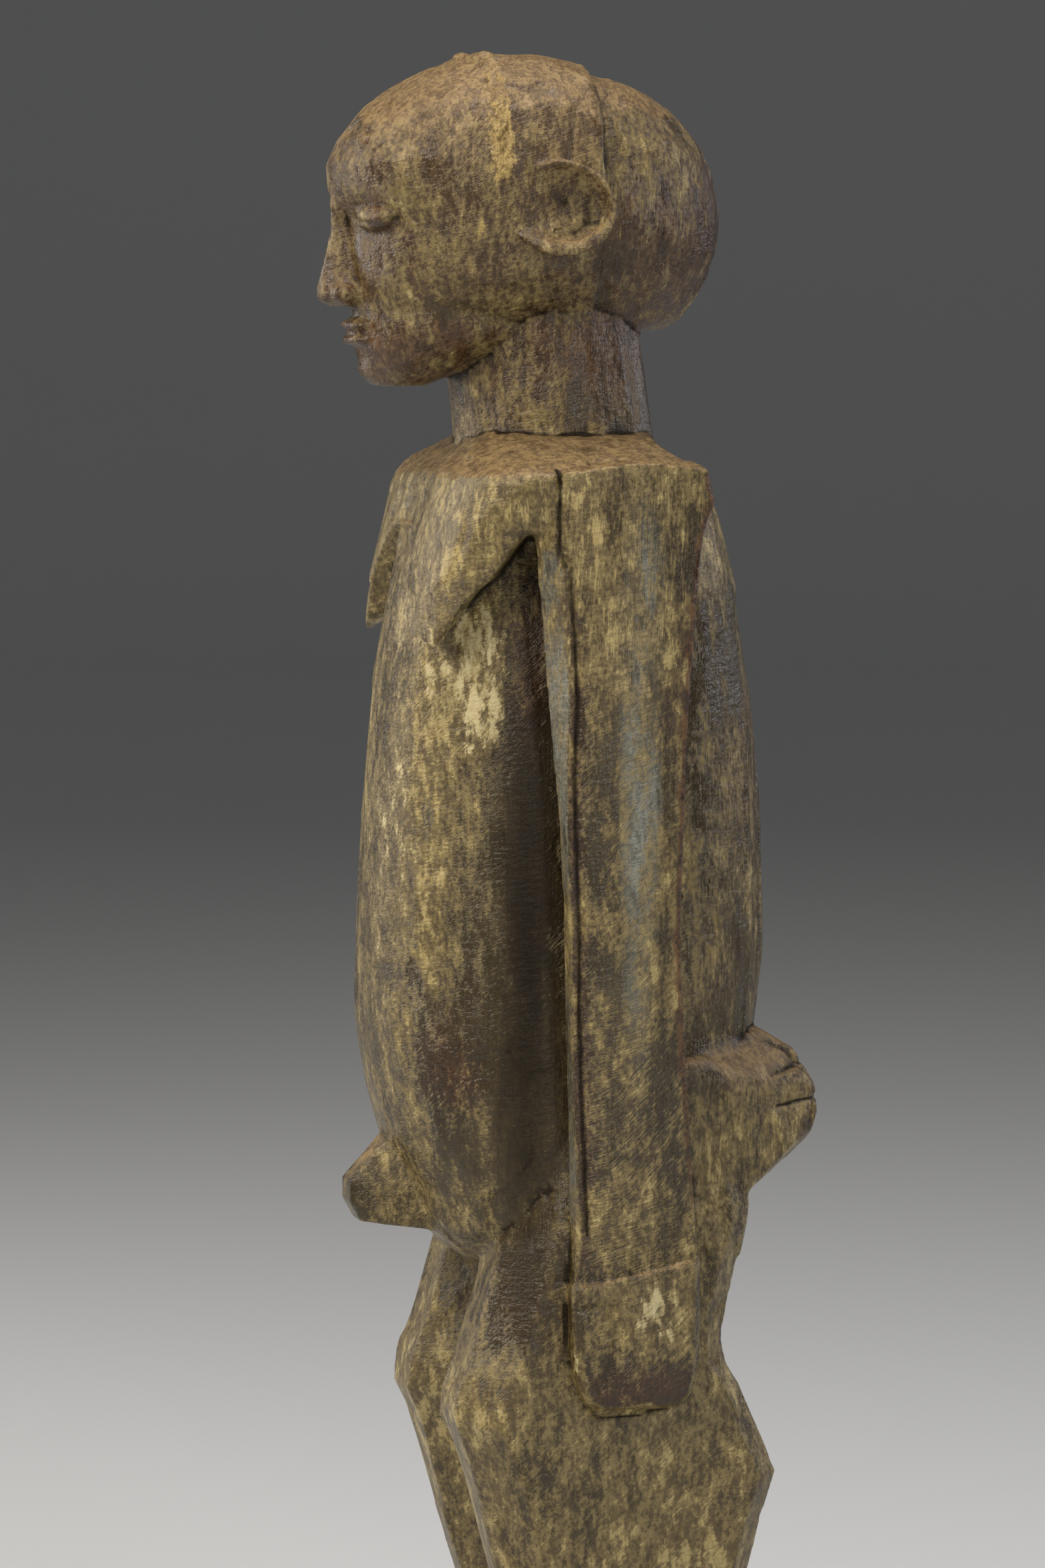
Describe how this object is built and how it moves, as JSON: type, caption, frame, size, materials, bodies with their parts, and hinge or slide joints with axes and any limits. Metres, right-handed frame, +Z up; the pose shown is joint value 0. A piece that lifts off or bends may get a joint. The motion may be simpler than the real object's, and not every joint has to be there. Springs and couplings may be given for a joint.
{
  "type": "standing female figure",
  "caption": "Standing female figure carved from one log, with arms at its sides, pointed breasts, bent knees and a low base that it stands on by its own weight.",
  "frame": {"origin": "middle of the figure's box, on the underside of the base", "axes": "+Z up along the log, the figure faces -Y, and its left side is +X"},
  "size_m": [0.1472, 0.163, 0.6385],
  "materials": {
    "dark_hardwood": "hand carved, old dark patina with tan dust and crust"
  },
  "bodies": {
    "root": {"figure": "dark_hardwood"}
  },
  "joints": []
}
